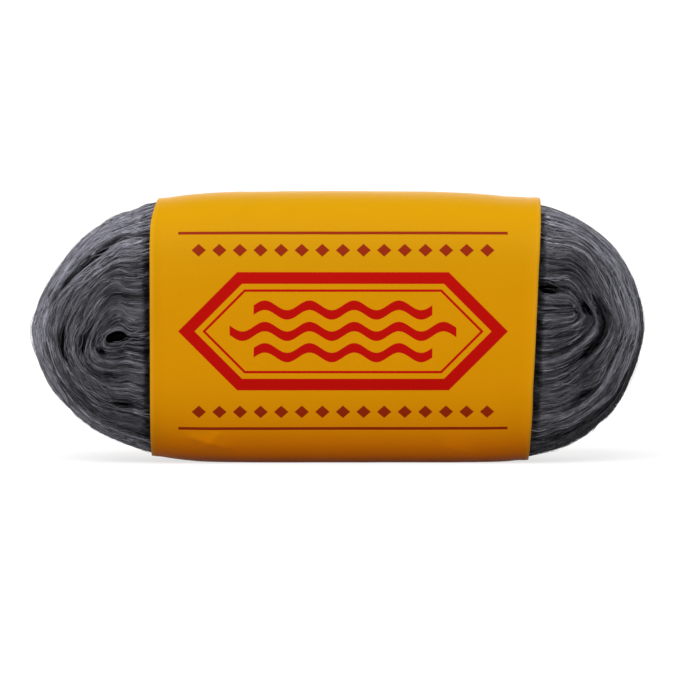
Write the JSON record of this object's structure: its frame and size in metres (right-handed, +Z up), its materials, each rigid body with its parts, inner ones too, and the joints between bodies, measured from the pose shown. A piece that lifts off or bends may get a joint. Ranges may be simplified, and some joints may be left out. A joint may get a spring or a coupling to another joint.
{
  "type": "steel wool roll",
  "caption": "Flattened spiral roll of dark steel wool for scouring and polishing, held round its middle by a printed paper band.",
  "frame": {"origin": "middle of the flat underside of the band, on which the roll stands, centred on the roll's length and depth", "axes": "+Z up, +X along the length, the two spiral faces towards -Y (front, seen in the picture) and +Y (back, where the band's lap is)"},
  "size_m": [0.1795, 0.0555, 0.0792],
  "materials": {
    "steel_wool": "matte",
    "printed_paper": "satin"
  },
  "bodies": {
    "root": {"wool_roll": "steel_wool", "paper_band": "printed_paper"}
  },
  "joints": []
}
